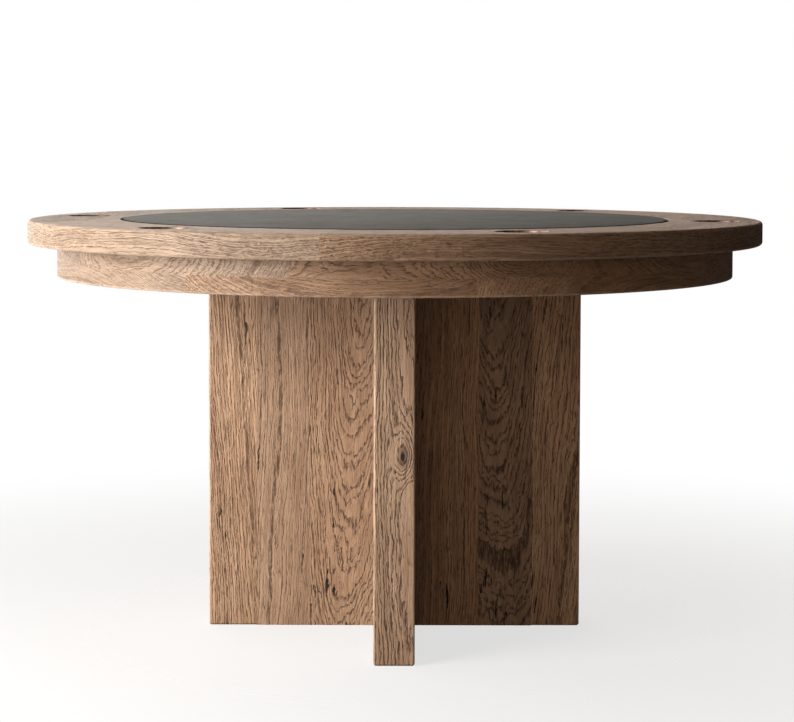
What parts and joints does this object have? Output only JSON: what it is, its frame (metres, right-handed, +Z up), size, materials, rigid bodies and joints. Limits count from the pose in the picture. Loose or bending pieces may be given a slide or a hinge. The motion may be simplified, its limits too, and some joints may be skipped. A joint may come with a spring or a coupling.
{
  "type": "gaming table",
  "caption": "Round oak gaming table with an inset leather playing panel, copper cup inserts in the rim, a brick-laid apron and a cross-shaped board pedestal.",
  "frame": {"origin": "on the floor, at the centre of the pedestal's cross", "axes": "+Z up along the table's axis; X and Y run out along the pedestal's four wings"},
  "size_m": [1.3716, 1.3716, 0.771],
  "materials": {
    "rim_oak": "wire-brushed weathered oak, matt",
    "apron_oak": "brushed oak, matt",
    "pedestal_oak": "brushed oak with knots and checks, matt",
    "plywood": "birch plywood, sanded",
    "leather": "dark grey-green leather, fine grain",
    "copper": "brushed antique copper",
    "black_steel": "black powder coat",
    "zinc_steel": "zinc-plated steel",
    "black_nylon": "black moulded nylon"
  },
  "bodies": {
    "table_frame": {"rim_segment_1": "rim_oak", "rim_segment_2": "rim_oak", "rim_segment_3": "rim_oak", "rim_segment_4": "rim_oak", "rim_segment_5": "rim_oak", "rim_segment_6": "rim_oak", "rim_tongues": "rim_oak", "sub_top": "plywood", "sub_top_screws": "zinc_steel", "apron_lower_1": "apron_oak", "apron_lower_2": "apron_oak", "apron_lower_3": "apron_oak", "apron_lower_4": "apron_oak", "apron_lower_5": "apron_oak", "apron_lower_6": "apron_oak", "apron_lower_7": "apron_oak", "apron_lower_8": "apron_oak", "apron_upper_1": "apron_oak", "apron_upper_2": "apron_oak", "apron_upper_3": "apron_oak", "apron_upper_4": "apron_oak", "apron_upper_5": "apron_oak", "apron_upper_6": "apron_oak", "apron_upper_7": "apron_oak", "apron_upper_8": "apron_oak", "mounting_plate": "black_steel", "plate_bolts": "zinc_steel", "threaded_inserts": "zinc_steel", "plate_screws": "zinc_steel", "right_wing_inner_board": "pedestal_oak", "right_wing_middle_board": "pedestal_oak", "right_wing_outer_board": "pedestal_oak", "back_wing_inner_board": "pedestal_oak", "back_wing_middle_board": "pedestal_oak", "back_wing_outer_board": "pedestal_oak", "left_wing_inner_board": "pedestal_oak", "left_wing_middle_board": "pedestal_oak", "left_wing_outer_board": "pedestal_oak", "front_wing_inner_board": "pedestal_oak", "front_wing_middle_board": "pedestal_oak", "front_wing_outer_board": "pedestal_oak", "centre_post": "pedestal_oak", "wing_tenons": "pedestal_oak", "glide_sleeves": "zinc_steel"},
    "playing_panel": {"panel_core": "plywood", "leather_cover": "leather"},
    "cup_1": {"cup_1": "copper"},
    "cup_2": {"cup_2": "copper"},
    "cup_3": {"cup_3": "copper"},
    "cup_4": {"cup_4": "copper"},
    "cup_5": {"cup_5": "copper"},
    "cup_6": {"cup_6": "copper"},
    "glide_pad_1": {"glide_pad_1": "black_nylon"},
    "glide_stem_1": {"glide_stem_1": "zinc_steel"},
    "glide_pad_2": {"glide_pad_2": "black_nylon"},
    "glide_stem_2": {"glide_stem_2": "zinc_steel"},
    "glide_pad_3": {"glide_pad_3": "black_nylon"},
    "glide_stem_3": {"glide_stem_3": "zinc_steel"},
    "glide_pad_4": {"glide_pad_4": "black_nylon"},
    "glide_stem_4": {"glide_stem_4": "zinc_steel"}
  },
  "joints": [
    {"name": "panel_lift_out", "type": "slide", "parent": "table_frame", "child": "playing_panel", "axis": [0, 0, 1], "range_m": [0, 0.06]},
    {"name": "cup_1_lift_out", "type": "slide", "parent": "table_frame", "child": "cup_1", "axis": [0, 0, 1], "range_m": [0, 0.06]},
    {"name": "cup_2_lift_out", "type": "slide", "parent": "table_frame", "child": "cup_2", "axis": [0, 0, 1], "range_m": [0, 0.06]},
    {"name": "cup_3_lift_out", "type": "slide", "parent": "table_frame", "child": "cup_3", "axis": [0, 0, 1], "range_m": [0, 0.06]},
    {"name": "cup_4_lift_out", "type": "slide", "parent": "table_frame", "child": "cup_4", "axis": [0, 0, 1], "range_m": [0, 0.06]},
    {"name": "cup_5_lift_out", "type": "slide", "parent": "table_frame", "child": "cup_5", "axis": [0, 0, 1], "range_m": [0, 0.06]},
    {"name": "cup_6_lift_out", "type": "slide", "parent": "table_frame", "child": "cup_6", "axis": [0, 0, 1], "range_m": [0, 0.06]},
    {"name": "glide_1_height", "type": "slide", "parent": "table_frame", "child": "glide_pad_1", "axis": [0, 0, -1], "range_m": [0, 0.01]},
    {"name": "glide_1_screw", "type": "hinge", "parent": "glide_pad_1", "child": "glide_stem_1", "pos_m": [0.3045, 0, 0.03], "axis": [0, 0, -1], "range_deg": [0, 2880]},
    {"name": "glide_2_height", "type": "slide", "parent": "table_frame", "child": "glide_pad_2", "axis": [0, 0, -1], "range_m": [0, 0.01]},
    {"name": "glide_2_screw", "type": "hinge", "parent": "glide_pad_2", "child": "glide_stem_2", "pos_m": [0, 0.3045, 0.03], "axis": [0, 0, -1], "range_deg": [0, 2880]},
    {"name": "glide_3_height", "type": "slide", "parent": "table_frame", "child": "glide_pad_3", "axis": [0, 0, -1], "range_m": [0, 0.01]},
    {"name": "glide_3_screw", "type": "hinge", "parent": "glide_pad_3", "child": "glide_stem_3", "pos_m": [-0.3045, 0, 0.03], "axis": [0, 0, -1], "range_deg": [0, 2880]},
    {"name": "glide_4_height", "type": "slide", "parent": "table_frame", "child": "glide_pad_4", "axis": [0, 0, -1], "range_m": [0, 0.01]},
    {"name": "glide_4_screw", "type": "hinge", "parent": "glide_pad_4", "child": "glide_stem_4", "pos_m": [0, -0.3045, 0.03], "axis": [0, 0, -1], "range_deg": [0, 2880]}
  ],
  "couplings": [
    {"joint": "glide_1_height", "follows": "glide_1_screw", "m_per_rad": 0.00019894},
    {"joint": "glide_2_height", "follows": "glide_2_screw", "m_per_rad": 0.00019894},
    {"joint": "glide_3_height", "follows": "glide_3_screw", "m_per_rad": 0.00019894},
    {"joint": "glide_4_height", "follows": "glide_4_screw", "m_per_rad": 0.00019894}
  ]
}
